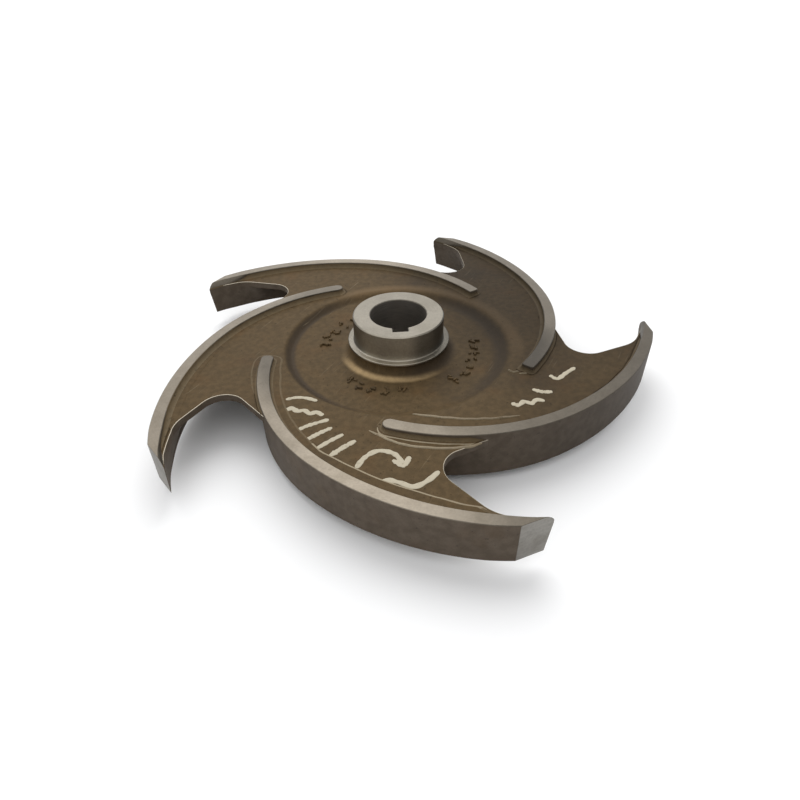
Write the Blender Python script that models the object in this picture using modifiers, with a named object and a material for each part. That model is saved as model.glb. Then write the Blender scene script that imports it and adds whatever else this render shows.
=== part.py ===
"""Open pump impeller with five backswept vanes, one casting with a keyed hub.

It lies with its hub upward. The origin is on the bore's axis, level with the
flat nose face that it rests on. The keyway points along -Y.
"""
import math

import bmesh
import bpy
from mathutils import Matrix, Vector

MM = 0.001

# Hub and bore
BORE_RADIUS = 19.05 * MM
KEYWAY_WIDTH = 10.0 * MM
KEYWAY_REACH = 23.1 * MM
HUB_RADIUS = 30.75 * MM
HUB_TOP = 55.6 * MM
HUB_CHAMFER = 0.8 * MM
COLLAR_RADIUS = 34.8 * MM
COLLAR_HEIGHT = 1.5 * MM
COLLAR_UNDERCUT = 0.4 * MM
BOSS_RADIUS = 34.0 * MM

# Heights of the casting above the nose face
RIB_TOP = 36.0 * MM
WEB_TOP = 32.0 * MM
WEB_THICKNESS = 5.0 * MM
DISH_FLOOR = 28.0 * MM
DISH_RADIUS = 79.5 * MM
DISH_SLOPE = 6.5 * MM
BOSS_FILLET = 4.5 * MM

# Underside of the web, as radius and height: it thickens inward, then a cove runs down to the nose
FLAT_UNDERSIDE_TO = 112.0 * MM
UNDERSIDE_MIDDLE = Vector((88.0, 25.0)) * MM
UNDERSIDE_INNER = Vector((66.0, 21.5)) * MM
COVE_CENTRE = Vector((64.0, -6.5)) * MM
COVE_RADIUS = 28.0 * MM
COVE_FROM = math.radians(94.0)
COVE_TO = math.radians(152.0)
NOSE_RADIUS = 29.0 * MM
NOSE_TAPER = 4.0 * MM

# Outside of the whole impeller, as machined
OUTER_RADIUS = 176.1 * MM
VANE_LOW_AT_RIM = 9.6 * MM
VANE_LOW_AT_EYE = 0.4 * MM
EYE_RADIUS = 44.0 * MM
EYE_OVERRUN = 8.0 * MM

# Vanes: three tangent arcs from the rim in to the eye
VANES = 5
FIRST_VANE_TURN = math.radians(-3.5)
RIM_ARC_CENTRE = Vector((66.4, 3.9)) * MM
RIM_ARC_RADIUS = 168.0 * MM
MIDDLE_ARC_RADIUS = 126.0 * MM
INLET_ARC_RADIUS = 60.0 * MM
PAST_RIM = math.radians(277.0)
RIM_TAPER_FROM = math.radians(262.0)
RIM_TAPER_TO = math.radians(269.0)
RIM_TO_MIDDLE = math.radians(227.3)
MIDDLE_TO_INLET = math.radians(178.0)
VANE_NOSE = math.radians(89.0)
TIP_HALF_WIDTH = 3.0 * MM
RIM_HALF_WIDTH = 3.8 * MM
MIDDLE_HALF_WIDTH = 4.15 * MM
NOSE_HALF_WIDTH = 3.2 * MM
INLET_TOP = 26.0 * MM
INLET_OVERLAP = math.radians(4.0)
INLET_SLACK = 0.1 * MM

# Scallops that open the web between one vane and the next
NOTCH_CENTRE = Vector((37.8, -123.8)) * MM
NOTCH_RADIUS = 15.0 * MM
NOTCH_INNER_RUN = math.radians(20.4)
NOTCH_OUTER_RUN = math.radians(-49.0)
LEDGE_WIDTH = 4.2 * MM
LEDGE_WIDTH_AT_TIP = 1.8 * MM
LEDGE_ROUNDING = 7.0 * MM
NEXT_VANE_ENTRY = math.radians(209.0)

# Facets
TURNED_STEPS = 72
VANE_STEP = math.radians(3.2)
HIDDEN_VANE_STEP = 2.0 * VANE_STEP
VANE_END_STEP = math.radians(36.0)
NOTCH_STEP = math.radians(11.0)
FAR_RIM_STEP = math.radians(12.0)
FILLET_STEP = math.radians(45.0)
COVE_STEP = math.radians(15.0)
CORNER_STEPS = 4

# How far a tool reaches past what it cuts or trims
PAST = 6.0 * MM

CASTING_COLOUR = (0.13, 0.10, 0.075, 1.0)


def on_circle(centre, radius, angle):
    """Point on a circle in plan."""
    return centre + radius * Vector((math.cos(angle), math.sin(angle)))


def spread(start, end, step):
    """Even values from start to end, no further apart than step."""
    count = max(1, math.ceil(abs(end - start) / step))
    return [start + (end - start) * i / count for i in range(count + 1)]


def blend(low, high, share):
    """Value between low and high, with the share kept from 0 to 1."""
    return low + (high - low) * min(1.0, max(0.0, share))


MIDDLE_ARC_CENTRE = on_circle(RIM_ARC_CENTRE, RIM_ARC_RADIUS - MIDDLE_ARC_RADIUS, RIM_TO_MIDDLE)
INLET_ARC_CENTRE = on_circle(MIDDLE_ARC_CENTRE, MIDDLE_ARC_RADIUS - INLET_ARC_RADIUS, MIDDLE_TO_INLET)


def rim_half_width(angle):
    """Half the vane's width on the rim arc, which narrows at the tip."""
    taper = (angle - RIM_TAPER_FROM) / (RIM_TAPER_TO - RIM_TAPER_FROM)
    return blend(RIM_HALF_WIDTH, TIP_HALF_WIDTH, taper)


def middle_half_width(angle):
    """Half the vane's width on the middle arc, wider toward the hub."""
    share = (RIM_TO_MIDDLE - angle) / (RIM_TO_MIDDLE - MIDDLE_TO_INLET)
    return blend(RIM_HALF_WIDTH, MIDDLE_HALF_WIDTH, share)


def inlet_half_width(angle):
    """Half the vane's width under the web, down to the nose at the eye."""
    share = (MIDDLE_TO_INLET - angle) / (MIDDLE_TO_INLET - VANE_NOSE)
    return blend(MIDDLE_HALF_WIDTH, NOSE_HALF_WIDTH, share)


def ledge_edge(angle):
    """Edge of the web's ledge beside the vane's concave side, at an angle on the rim arc."""
    taper = (angle - RIM_TAPER_FROM) / (RIM_TAPER_TO - RIM_TAPER_FROM)
    ledge = blend(LEDGE_WIDTH, LEDGE_WIDTH_AT_TIP, taper)
    return on_circle(RIM_ARC_CENTRE, RIM_ARC_RADIUS - rim_half_width(angle) - ledge, angle)


def round_corner(before, corner, after):
    """Smooth curve from before to after that leans into the corner."""
    shares = [i / CORNER_STEPS for i in range(CORNER_STEPS + 1)]
    return [(1 - t) ** 2 * before + 2 * t * (1 - t) * corner + t ** 2 * after for t in shares]


def round_end(centre, half_width, angle):
    """Half circle that closes a vane's end, from its convex to its concave side."""
    angles = spread(angle, angle - math.pi, VANE_END_STEP)
    return [on_circle(centre, half_width, a) for a in angles[1:-1]]


def upper_vane_outline():
    """Plan of the vane from past the rim to its round inner end on the web."""
    stations = [(RIM_ARC_CENTRE, RIM_ARC_RADIUS, a, rim_half_width(a))
                for a in spread(PAST_RIM, RIM_TO_MIDDLE, VANE_STEP)]
    stations += [(MIDDLE_ARC_CENTRE, MIDDLE_ARC_RADIUS, a, middle_half_width(a))
                 for a in spread(RIM_TO_MIDDLE, MIDDLE_TO_INLET, VANE_STEP)[1:]]
    convex = [on_circle(c, r + h, a) for c, r, a, h in stations]
    concave = [on_circle(c, r - h, a) for c, r, a, h in stations]
    middle = on_circle(MIDDLE_ARC_CENTRE, MIDDLE_ARC_RADIUS, MIDDLE_TO_INLET)
    return convex + round_end(middle, MIDDLE_HALF_WIDTH, MIDDLE_TO_INLET) + concave[::-1]


def inlet_vane_outline():
    """Plan of the vane's inner run, which lies under the web."""
    buried = MIDDLE_TO_INLET + INLET_OVERLAP
    stations = [(MIDDLE_ARC_CENTRE, MIDDLE_ARC_RADIUS, buried, NOSE_HALF_WIDTH)]
    stations += [(INLET_ARC_CENTRE, INLET_ARC_RADIUS, a, inlet_half_width(a) - INLET_SLACK)
                 for a in spread(MIDDLE_TO_INLET, VANE_NOSE, HIDDEN_VANE_STEP)]
    convex = [on_circle(c, r + h, a) for c, r, a, h in stations]
    concave = [on_circle(c, r - h, a) for c, r, a, h in stations]
    nose = on_circle(INLET_ARC_CENTRE, INLET_ARC_RADIUS, VANE_NOSE)
    return convex + round_end(nose, NOSE_HALF_WIDTH - INLET_SLACK, VANE_NOSE) + concave[::-1]


def ledge_corner():
    """Where the notch's outer run meets the ledge along the vane."""
    start = on_circle(NOTCH_CENTRE, NOTCH_RADIUS, NOTCH_OUTER_RUN - math.pi / 2.0)
    run = Vector((math.cos(NOTCH_OUTER_RUN), math.sin(NOTCH_OUTER_RUN)))
    ledge_radius = RIM_ARC_RADIUS - RIM_HALF_WIDTH - LEDGE_WIDTH
    gap = start - RIM_ARC_CENTRE
    along = -gap.dot(run) + math.sqrt(gap.dot(run) ** 2 - gap.length_squared + ledge_radius ** 2)
    return start + along * run


def scallop_outline():
    """Plan of one opening in the web, from the ledge round to the next vane."""
    corner = ledge_corner()
    corner_angle = math.atan2(*(corner - RIM_ARC_CENTRE).yx) % math.tau
    rounding_angle = corner_angle + LEDGE_ROUNDING / RIM_ARC_RADIUS
    points = [ledge_edge(a) for a in spread(PAST_RIM, rounding_angle, VANE_STEP)]
    outer_run = Vector((math.cos(NOTCH_OUTER_RUN), math.sin(NOTCH_OUTER_RUN)))
    points += round_corner(points.pop(), corner, corner - LEDGE_ROUNDING * outer_run)
    arc = spread(1.5 * math.pi + NOTCH_OUTER_RUN, 0.5 * math.pi + NOTCH_INNER_RUN, NOTCH_STEP)
    points += [on_circle(NOTCH_CENTRE, NOTCH_RADIUS, a) for a in arc]
    turn = Matrix.Rotation(math.tau / VANES, 2)
    points += [turn @ on_circle(MIDDLE_ARC_CENTRE, MIDDLE_ARC_RADIUS, a)
               for a in spread(NEXT_VANE_ENTRY, RIM_TO_MIDDLE, HIDDEN_VANE_STEP)]
    points += [turn @ on_circle(RIM_ARC_CENTRE, RIM_ARC_RADIUS, a)
               for a in spread(RIM_TO_MIDDLE, PAST_RIM, HIDDEN_VANE_STEP)[1:]]
    rim_start = math.atan2(points[-1].y, points[-1].x)
    rim_end = math.atan2(points[0].y, points[0].x)
    far = OUTER_RADIUS + 2.0 * PAST
    points += [on_circle(Vector((0.0, 0.0)), far, a)
               for a in spread(rim_start, rim_end, FAR_RIM_STEP)]
    return points


def turned_profile():
    """Hub, dish, web and nose as one closed profile, down its outer side first."""
    profile = [
        (BORE_RADIUS + HUB_CHAMFER, HUB_TOP),
        (HUB_RADIUS - HUB_CHAMFER, HUB_TOP),
        (HUB_RADIUS, HUB_TOP - HUB_CHAMFER),
        (HUB_RADIUS, RIB_TOP + COLLAR_HEIGHT),
        (COLLAR_RADIUS, RIB_TOP + COLLAR_HEIGHT),
        (COLLAR_RADIUS, RIB_TOP),
        (BOSS_RADIUS, RIB_TOP - COLLAR_UNDERCUT),
    ]
    foot = Vector((BOSS_RADIUS + BOSS_FILLET, DISH_FLOOR + BOSS_FILLET))
    profile += [tuple(on_circle(foot, BOSS_FILLET, a))
                for a in spread(math.pi, 1.5 * math.pi, FILLET_STEP)]
    profile += [
        (DISH_RADIUS - DISH_SLOPE, DISH_FLOOR),
        (DISH_RADIUS, WEB_TOP),
        (OUTER_RADIUS + PAST, WEB_TOP),
        (OUTER_RADIUS + PAST, WEB_TOP - WEB_THICKNESS),
        (FLAT_UNDERSIDE_TO, WEB_TOP - WEB_THICKNESS),
        tuple(UNDERSIDE_MIDDLE),
        tuple(UNDERSIDE_INNER),
    ]
    profile += [tuple(on_circle(COVE_CENTRE, COVE_RADIUS, a))
                for a in spread(COVE_FROM, COVE_TO, COVE_STEP)]
    profile += [
        (NOSE_RADIUS + NOSE_TAPER, NOSE_TAPER),
        (NOSE_RADIUS, 0.0),
        (BORE_RADIUS + HUB_CHAMFER, 0.0),
        (BORE_RADIUS, HUB_CHAMFER),
        (BORE_RADIUS, HUB_TOP - HUB_CHAMFER),
    ]
    return profile


def envelope_profile():
    """The turned outside that trims the vanes at the rim and along their low edges."""
    slope = (VANE_LOW_AT_RIM - VANE_LOW_AT_EYE) / (OUTER_RADIUS - EYE_RADIUS)
    inside_eye = EYE_RADIUS - EYE_OVERRUN
    low = VANE_LOW_AT_EYE - slope * (EYE_RADIUS - inside_eye)
    return [
        (0.0, HUB_TOP + PAST),
        (OUTER_RADIUS, HUB_TOP + PAST),
        (OUTER_RADIUS, VANE_LOW_AT_RIM),
        (inside_eye, low),
        (inside_eye, -PAST),
        (0.0, -PAST),
    ]


def turned_object(name, profile, closed, collection):
    """Object with a Screw modifier that turns the profile about Z."""
    mesh = bpy.data.meshes.new(name)
    points = [(radius, 0.0, height) for radius, height in profile]
    edges = [(i, i + 1) for i in range(len(points) - 1)]
    if closed:
        edges.append((len(points) - 1, 0))
    mesh.from_pydata(points, edges, [])
    item = bpy.data.objects.new(name, mesh)
    collection.objects.link(item)
    screw = item.modifiers.new("turn", "SCREW")
    screw.steps = screw.render_steps = TURNED_STEPS
    screw.use_merge_vertices = True
    screw.merge_threshold = 0.00001
    screw.use_smooth_shade = True
    return item


def prism(bm, outline, low, high, turn):
    """Upright prism over a plan outline, turned about Z, with its faces outward."""
    ring = [bm.verts.new(turn @ Vector((p.x, p.y, low))) for p in outline]
    face = bm.faces.new(ring)
    raised = bmesh.ops.extrude_face_region(bm, geom=[face])["geom"]
    lifted = [v for v in raised if isinstance(v, bmesh.types.BMVert)]
    bmesh.ops.translate(bm, verts=lifted, vec=(0.0, 0.0, high - low))


def prisms_object(name, outline, low, high, collection):
    """One prism for each vane, as a mesh object used to join or to cut."""
    bm = bmesh.new()
    for i in range(VANES):
        turn = Matrix.Rotation(FIRST_VANE_TURN + math.tau * i / VANES, 4, "Z")
        prism(bm, outline, low, high, turn)
    bmesh.ops.recalc_face_normals(bm, faces=bm.faces)
    mesh = bpy.data.meshes.new(name)
    bm.to_mesh(mesh)
    bm.free()
    item = bpy.data.objects.new(name, mesh)
    collection.objects.link(item)
    return item


def keyway_cutter(collection):
    """Box that cuts the keyway through the hub, toward -Y."""
    bm = bmesh.new()
    bmesh.ops.create_cube(bm, size=1.0)
    size = Matrix.Diagonal((KEYWAY_WIDTH, KEYWAY_REACH, HUB_TOP + 2.0 * PAST, 1.0))
    place = Matrix.Translation((0.0, -KEYWAY_REACH / 2.0, HUB_TOP / 2.0))
    bmesh.ops.transform(bm, matrix=place @ size, verts=bm.verts)
    mesh = bpy.data.meshes.new("keyway_cutter")
    bm.to_mesh(mesh)
    bm.free()
    item = bpy.data.objects.new("keyway_cutter", mesh)
    collection.objects.link(item)
    return item


def add_boolean(item, operation, other):
    """Boolean step on item, with the other object hidden from renders."""
    step = item.modifiers.new(operation.lower() + "_" + other.name, "BOOLEAN")
    step.operation = operation
    step.object = other
    step.solver = "EXACT"
    other.hide_render = True
    other.display_type = "WIRE"


def casting_material():
    """Brown cast metal."""
    material = bpy.data.materials.new("cast_metal")
    material.use_nodes = True
    shader = material.node_tree.nodes["Principled BSDF"]
    shader.inputs["Base Color"].default_value = CASTING_COLOUR
    shader.inputs["Roughness"].default_value = 0.5
    shader.inputs["Metallic"].default_value = 0.8
    return material


def new_collection(name):
    """Collection linked to the scene."""
    collection = bpy.data.collections.new(name)
    bpy.context.scene.collection.children.link(collection)
    return collection


def main():
    for item in list(bpy.data.objects):
        bpy.data.objects.remove(item)
    parts = new_collection("impeller")
    cutters = new_collection("cutters")

    impeller = turned_object("impeller", turned_profile(), True, parts)
    impeller.data.materials.append(casting_material())
    scallops = prisms_object("scallop_cutters", scallop_outline(),
                             WEB_TOP - WEB_THICKNESS - PAST, WEB_TOP + PAST, cutters)
    upper_vanes = prisms_object("upper_vanes", upper_vane_outline(), -PAST, RIB_TOP, cutters)
    inlet_vanes = prisms_object("inlet_vanes", inlet_vane_outline(), -PAST, INLET_TOP, cutters)
    envelope = turned_object("envelope", envelope_profile(), False, cutters)

    add_boolean(impeller, "DIFFERENCE", scallops)
    add_boolean(impeller, "UNION", upper_vanes)
    add_boolean(impeller, "UNION", inlet_vanes)
    add_boolean(impeller, "INTERSECT", envelope)
    add_boolean(impeller, "DIFFERENCE", keyway_cutter(cutters))


main()
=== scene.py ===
# %% [markdown]
# # An open pump impeller
#
# The object is one iron casting: five curved vanes hang under a thin back web, and a turned hub
# with a keyed bore stands in its middle. The foundry's skin is left brown on the web, and only
# the hub, the rib tops, the rim and the vanes' low edges are machined bright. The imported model
# gives the place and size, and every piece below is built around the same axis.

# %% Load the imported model
import math
import random

import bmesh
import bpy
from mathutils import Matrix, Vector


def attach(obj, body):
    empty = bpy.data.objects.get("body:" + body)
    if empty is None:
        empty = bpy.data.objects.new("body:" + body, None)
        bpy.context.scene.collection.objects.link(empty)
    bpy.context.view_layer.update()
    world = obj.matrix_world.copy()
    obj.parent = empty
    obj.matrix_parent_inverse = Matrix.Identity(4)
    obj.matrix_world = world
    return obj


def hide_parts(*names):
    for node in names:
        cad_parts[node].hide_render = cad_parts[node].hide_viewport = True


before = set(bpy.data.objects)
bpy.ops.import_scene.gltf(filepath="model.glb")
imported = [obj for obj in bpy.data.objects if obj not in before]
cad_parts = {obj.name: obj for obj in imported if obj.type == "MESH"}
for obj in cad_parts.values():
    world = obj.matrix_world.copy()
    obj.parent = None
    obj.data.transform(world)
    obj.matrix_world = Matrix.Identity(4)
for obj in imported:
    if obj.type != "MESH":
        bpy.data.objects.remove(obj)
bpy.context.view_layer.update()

MM = 0.001

# %% [markdown]
# ## The camera
#
# The camera stands close and looks down at about 37 degrees, so the near vane looks much larger
# than the far ones. A long lens from further off would give the same outline but not that look,
# so the distance matters as much as the angle. The small roll and shift are those of a picture
# that was held by hand and cropped.

# %% Camera
IMAGE_SIDE = 800
FOCAL_PIXELS = 597.4
OPTICAL_AXIS_PIXEL = (390.3, 392.9)
CAMERA_PLACE = Vector((-21.5, -351.1, 258.8)) * MM
CAMERA_DOWN = math.radians(37.57)
CAMERA_HEADING = math.radians(2.38)
CAMERA_ROLL = math.radians(-1.69)

camera_data = bpy.data.cameras.new("camera")
camera_data.sensor_width = 36.0
camera_data.lens = camera_data.sensor_width * FOCAL_PIXELS / IMAGE_SIDE
camera_data.shift_x = 0.5 - OPTICAL_AXIS_PIXEL[0] / IMAGE_SIDE
camera_data.shift_y = OPTICAL_AXIS_PIXEL[1] / IMAGE_SIDE - 0.5
camera_data.clip_start = 10.0 * MM
camera = bpy.data.objects.new("camera", camera_data)
bpy.context.scene.collection.objects.link(camera)
camera.matrix_world = (Matrix.Translation(CAMERA_PLACE)
                       @ Matrix.Rotation(-CAMERA_HEADING, 4, "Z")
                       @ Matrix.Rotation(math.pi / 2.0 - CAMERA_DOWN, 4, "X")
                       @ Matrix.Rotation(CAMERA_ROLL, 4, "Z"))
bpy.context.scene.camera = camera
print("lens, mm:", round(camera_data.lens, 2))

# %% [markdown]
# ## The plan of one vane
#
# A pattern maker draws a vane with a compass. Two arcs that meet in one tangent give the part
# seen from above, and a third, tighter arc runs on below the web to the eye. Everything about a
# vane follows from this line: its two sides are the same arcs, half a width in or out.

# %% Arcs of the vane
VANES = 5
FIRST_TURN = math.radians(-3.5)
RIM_RADIUS = 175.9 * MM
RIM_ARC_CENTRE = Vector((66.4, 3.9)) * MM
RIM_ARC = 168.0 * MM
MIDDLE_ARC = 126.0 * MM
INLET_ARC = 60.0 * MM
RIM_TO_MIDDLE = math.radians(227.3)
MIDDLE_TO_INLET = math.radians(178.0)
VANE_NOSE = math.radians(89.0)
TAPER_FROM = math.radians(262.0)
TAPER_TO = math.radians(269.0)
TIP_HALF, RIM_HALF, MIDDLE_HALF, NOSE_HALF = 2.87 * MM, 3.79 * MM, 4.15 * MM, 3.2 * MM


def direction(angle):
    """Unit vector in plan."""
    return Vector((math.cos(angle), math.sin(angle)))


MIDDLE_ARC_CENTRE = RIM_ARC_CENTRE + (RIM_ARC - MIDDLE_ARC) * direction(RIM_TO_MIDDLE)
INLET_ARC_CENTRE = MIDDLE_ARC_CENTRE + (MIDDLE_ARC - INLET_ARC) * direction(MIDDLE_TO_INLET)


def mix(low, high, share):
    """Value between low and high, with the share kept from 0 to 1."""
    return low + (high - low) * min(1.0, max(0.0, share))


def ease(low, high, value):
    """Smooth step from 0 at low to 1 at high."""
    share = min(1.0, max(0.0, (value - low) / (high - low)))
    return share * share * (3.0 - 2.0 * share)


def steps(start, end, count):
    """Even values from start to end, both given."""
    return [start + (end - start) * i / count for i in range(count + 1)]


def rim_half(angle):
    return mix(RIM_HALF, TIP_HALF, (angle - TAPER_FROM) / (TAPER_TO - TAPER_FROM))


def middle_half(angle):
    return mix(MIDDLE_HALF, RIM_HALF, (angle - MIDDLE_TO_INLET) / (RIM_TO_MIDDLE - MIDDLE_TO_INLET))


def rim_crossing(radius):
    """Angle on a circle about the rim arc's centre where it meets the impeller's rim."""
    away = RIM_ARC_CENTRE.length
    cosine = (RIM_RADIUS ** 2 - away ** 2 - radius ** 2) / (2.0 * away * radius)
    return math.atan2(RIM_ARC_CENTRE.y, RIM_ARC_CENTRE.x) - math.acos(cosine) + math.tau


tip = RIM_ARC_CENTRE + RIM_ARC * direction(rim_crossing(RIM_ARC))
print("vane tip, mm and degrees:", [round(v / MM, 1) for v in tip],
      round(math.degrees(math.atan2(tip.y, tip.x)) % 360.0, 1))

# %% [markdown]
# ## Helpers for meshes
#
# Each piece is made in one bmesh and written to an object that stays at the origin. It is shaded
# smooth with its sharp edges kept, but a large flat face is left flat, because a soft normal at
# its corners would bend the light over the whole face. Long parts are swept: a ring of points is
# extruded once for each station, and every strip along the sweep can have its own finish.

# %% Mesh helpers
MANY_SIDED = 8
MERGE = 0.001 * MM


def turned(k):
    """Turn that carries the first vane's plan to vane k."""
    return Matrix.Rotation(FIRST_TURN + k * math.tau / VANES, 4, "Z")


def lift(point, height):
    """Point in plan raised to a height."""
    return Vector((point.x, point.y, height))


def ring_of(bm, points):
    """Closed ring of vertices and edges through points."""
    verts = [bm.verts.new(p) for p in points]
    edges = [bm.edges.new(pair) for pair in zip(verts, verts[1:] + verts[:1])]
    return verts, edges


def extrude_ring(bm, verts, edges, points, finishes=None):
    """The next ring of a sweep: the last one extruded, and its vertices moved to their places."""
    made = bmesh.ops.extrude_edge_only(bm, edges=edges)["geom"]
    fresh = {g for g in made if isinstance(g, bmesh.types.BMVert)}
    ring = [next(e.other_vert(v) for e in v.link_edges if e.other_vert(v) in fresh) for v in verts]
    for vert, point in zip(ring, points):
        vert.co = point
    place = {v: i for i, v in enumerate(ring)}
    ring_edges = [None] * len(ring)
    for edge in (g for g in made if isinstance(g, bmesh.types.BMEdge) and fresh.issuperset(g.verts)):
        low, high = sorted(place[v] for v in edge.verts)
        strip = high if high - low > 1 else low
        ring_edges[strip] = edge
        if finishes:
            edge.link_faces[0].material_index = finishes[strip]
    return ring, ring_edges


def sweep(bm, rings, finishes=None, end_finishes=(0, 0)):
    """Closed solid through rings of points. Its strips and its two ends can have finishes."""
    verts, edges = ring_of(bm, rings[0])
    first = edges
    for points in rings[1:]:
        verts, edges = extrude_ring(bm, verts, edges, points, finishes)
    ends = []
    for end, finish in zip((first, edges), end_finishes):
        ends += bmesh.ops.edgeloop_fill(bm, edges=end, mat_nr=finish)["faces"]
    return ends


def round_edges(bm, edges, width, segments, finish=-1):
    """Edges rounded with the settings that the editor's bevel has."""
    return bmesh.ops.bevel(bm, geom=edges, offset=width, offset_type="OFFSET", segments=segments,
                           profile=0.5, affect="EDGES", clamp_overlap=True, material=finish)["faces"]


def finish_piece(name, bm, materials, sharp=35.0):
    """Object from a bmesh, with its faces outward, that rides on the one body."""
    bmesh.ops.recalc_face_normals(bm, faces=bm.faces)
    mesh = bpy.data.meshes.new(name)
    bm.to_mesh(mesh)
    bm.free()
    mesh.shade_smooth()
    mesh.set_sharp_from_angle(angle=math.radians(sharp))
    for polygon in mesh.polygons:
        if len(polygon.vertices) > MANY_SIDED:
            polygon.use_smooth = False
    for material in materials:
        mesh.materials.append(material)
    piece = bpy.data.objects.new(name, mesh)
    bpy.context.scene.collection.objects.link(piece)
    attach(piece, "root")
    print(name, "triangles:", sum(len(p.vertices) - 2 for p in mesh.polygons))
    return piece


# %% [markdown]
# ## The turned profiles
#
# Hub, collar, dish and nose are round, so each profile is drawn once and spun about the axis. The
# upper one runs from the hub's chamfer over the collar and the dish to the web, and the lower one
# from the web's underside through the cove to the nose.

# %% Profiles
HUB_RADIUS, HUB_TOP, HUB_CHAMFER = 30.75 * MM, 55.6 * MM, 0.7 * MM
COLLAR_RADIUS, COLLAR_TOP, COLLAR_LOW = 34.8 * MM, 37.5 * MM, 35.9 * MM
COLLAR_CORNER, COLLAR_EDGE = 0.8 * MM, 0.45 * MM
BOSS_RADIUS, BOSS_FILLET = 33.6 * MM, 5.6 * MM
RIB_TOP, WEB_TOP, WEB_LOW, DISH_FLOOR = 36.0 * MM, 32.0 * MM, 27.0 * MM, 28.0 * MM
DISH_OUTER, DISH_INNER, DISH_OFF_CENTRE = 80.5 * MM, 70.5 * MM, 3.6 * MM
SPUN_TO = 112.0 * MM
NOSE_RADIUS, NOSE_EDGE = 29.6 * MM, 1.0 * MM
COVE_CENTRE, COVE_RADIUS = Vector((64.0, -6.5)) * MM, 28.0 * MM
UNDERSIDE = [(112.0, 27.0), (104.0, 26.5), (96.0, 25.8), (88.0, 25.0), (80.0, 24.1), (72.0, 22.9)]


def arc(centre, radius, start, end, count):
    """Points of an arc, with its angles in degrees."""
    return [centre + radius * direction(math.radians(a)) for a in steps(start, end, count)]


def upper_profile():
    """Radius and height from the hub's top edge out to the flat web."""
    points = [Vector((HUB_RADIUS - HUB_CHAMFER, HUB_TOP))]
    points += [Vector((HUB_RADIUS, z)) for z in steps(HUB_TOP - HUB_CHAMFER, COLLAR_TOP + COLLAR_CORNER, 5)]
    points += arc(Vector((HUB_RADIUS, COLLAR_TOP)) + Vector((1.0, 1.0)) * COLLAR_CORNER, COLLAR_CORNER,
                  180.0, 270.0, 4)[1:]
    edge = COLLAR_RADIUS - COLLAR_EDGE
    points += arc(Vector((edge, COLLAR_TOP - COLLAR_EDGE)), COLLAR_EDGE, 90.0, 0.0, 4)
    points += arc(Vector((edge, COLLAR_LOW + COLLAR_EDGE)), COLLAR_EDGE, 0.0, -80.0, 3)
    foot = Vector((BOSS_RADIUS, DISH_FLOOR)) + Vector((1.0, 1.0)) * BOSS_FILLET
    points += arc(foot, BOSS_FILLET, 170.0, 270.0, 12)
    points += [Vector((r * MM, DISH_FLOOR)) for r in (43.0, 50.0, 58.0, 64.0)]
    for share in steps(0.0, 1.0, 12):
        height = mix(DISH_FLOOR, WEB_TOP, ease(0.0, 1.0, share))
        points.append(Vector((mix(DISH_INNER, DISH_OUTER, share), height)))
    return points + [Vector((r * MM, WEB_TOP)) for r in (84.0, 92.0, 102.0)] + [Vector((SPUN_TO, WEB_TOP))]


def lower_profile():
    """Radius and height from the web's underside in to the nose."""
    points = [Vector(p) * MM for p in UNDERSIDE]
    points += arc(COVE_CENTRE, COVE_RADIUS, 94.0, 152.0, 16)
    points += [Vector((35.0, 5.0)) * MM, Vector((32.6, 3.4)) * MM]
    return points + arc(Vector((NOSE_RADIUS, NOSE_EDGE)), NOSE_EDGE, 30.0, -90.0, 4)


def underside(radius):
    """Height of the web's underside at a radius."""
    table = [(p.x, p.y) for p in lower_profile()]
    for (far, high), (near, low) in zip(table, table[1:]):
        if near <= radius <= far:
            return mix(low, high, (radius - near) / (far - near))
    return WEB_LOW


print("profile points:", len(upper_profile()), "above and", len(lower_profile()), "below")

# %% [markdown]
# ## The web and its scallops
#
# Between one vane and the next, the web is cut back in a deep scallop, which eases the thrust on
# the shaft. One fifth of the web is drawn as a flat outline from the spun part out to the rim and
# extruded to its thickness. The second scallop from the left was cut a few millimetres wider.

# %% Outline of one fifth of the web
NOTCH_CENTRE, NOTCH_RADIUS = Vector((37.8, -123.8)) * MM, 15.0 * MM
NOTCH_INNER_RUN, NOTCH_OUTER_RUN = math.radians(20.4), math.radians(-49.0)
LEDGE, LEDGE_AT_TIP, LEDGE_ROUNDING = 4.2 * MM, 1.8 * MM, 7.0 * MM
VANE_ENTRY = math.radians(209.0)
# The web stops this far short of the rim, inside the vane's tip
WEB_SHORT = 2.0 * MM
INSIDE_VANE = 0.95
SPUN_STEPS = 240
WIDER_NOTCH = {4: 4.4 * MM}
ENTRY = MIDDLE_ARC_CENTRE + MIDDLE_ARC * direction(VANE_ENTRY)
NEXT_ENTRY = Matrix.Rotation(math.tau / VANES, 2) @ ENTRY


def ledge_point(angle):
    """Edge of the narrow ledge beside the vane's hollow side."""
    taper = (angle - TAPER_FROM) / (TAPER_TO - TAPER_FROM)
    return RIM_ARC_CENTRE + (RIM_ARC - rim_half(angle) - mix(LEDGE, LEDGE_AT_TIP, taper)) * direction(angle)


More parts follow.
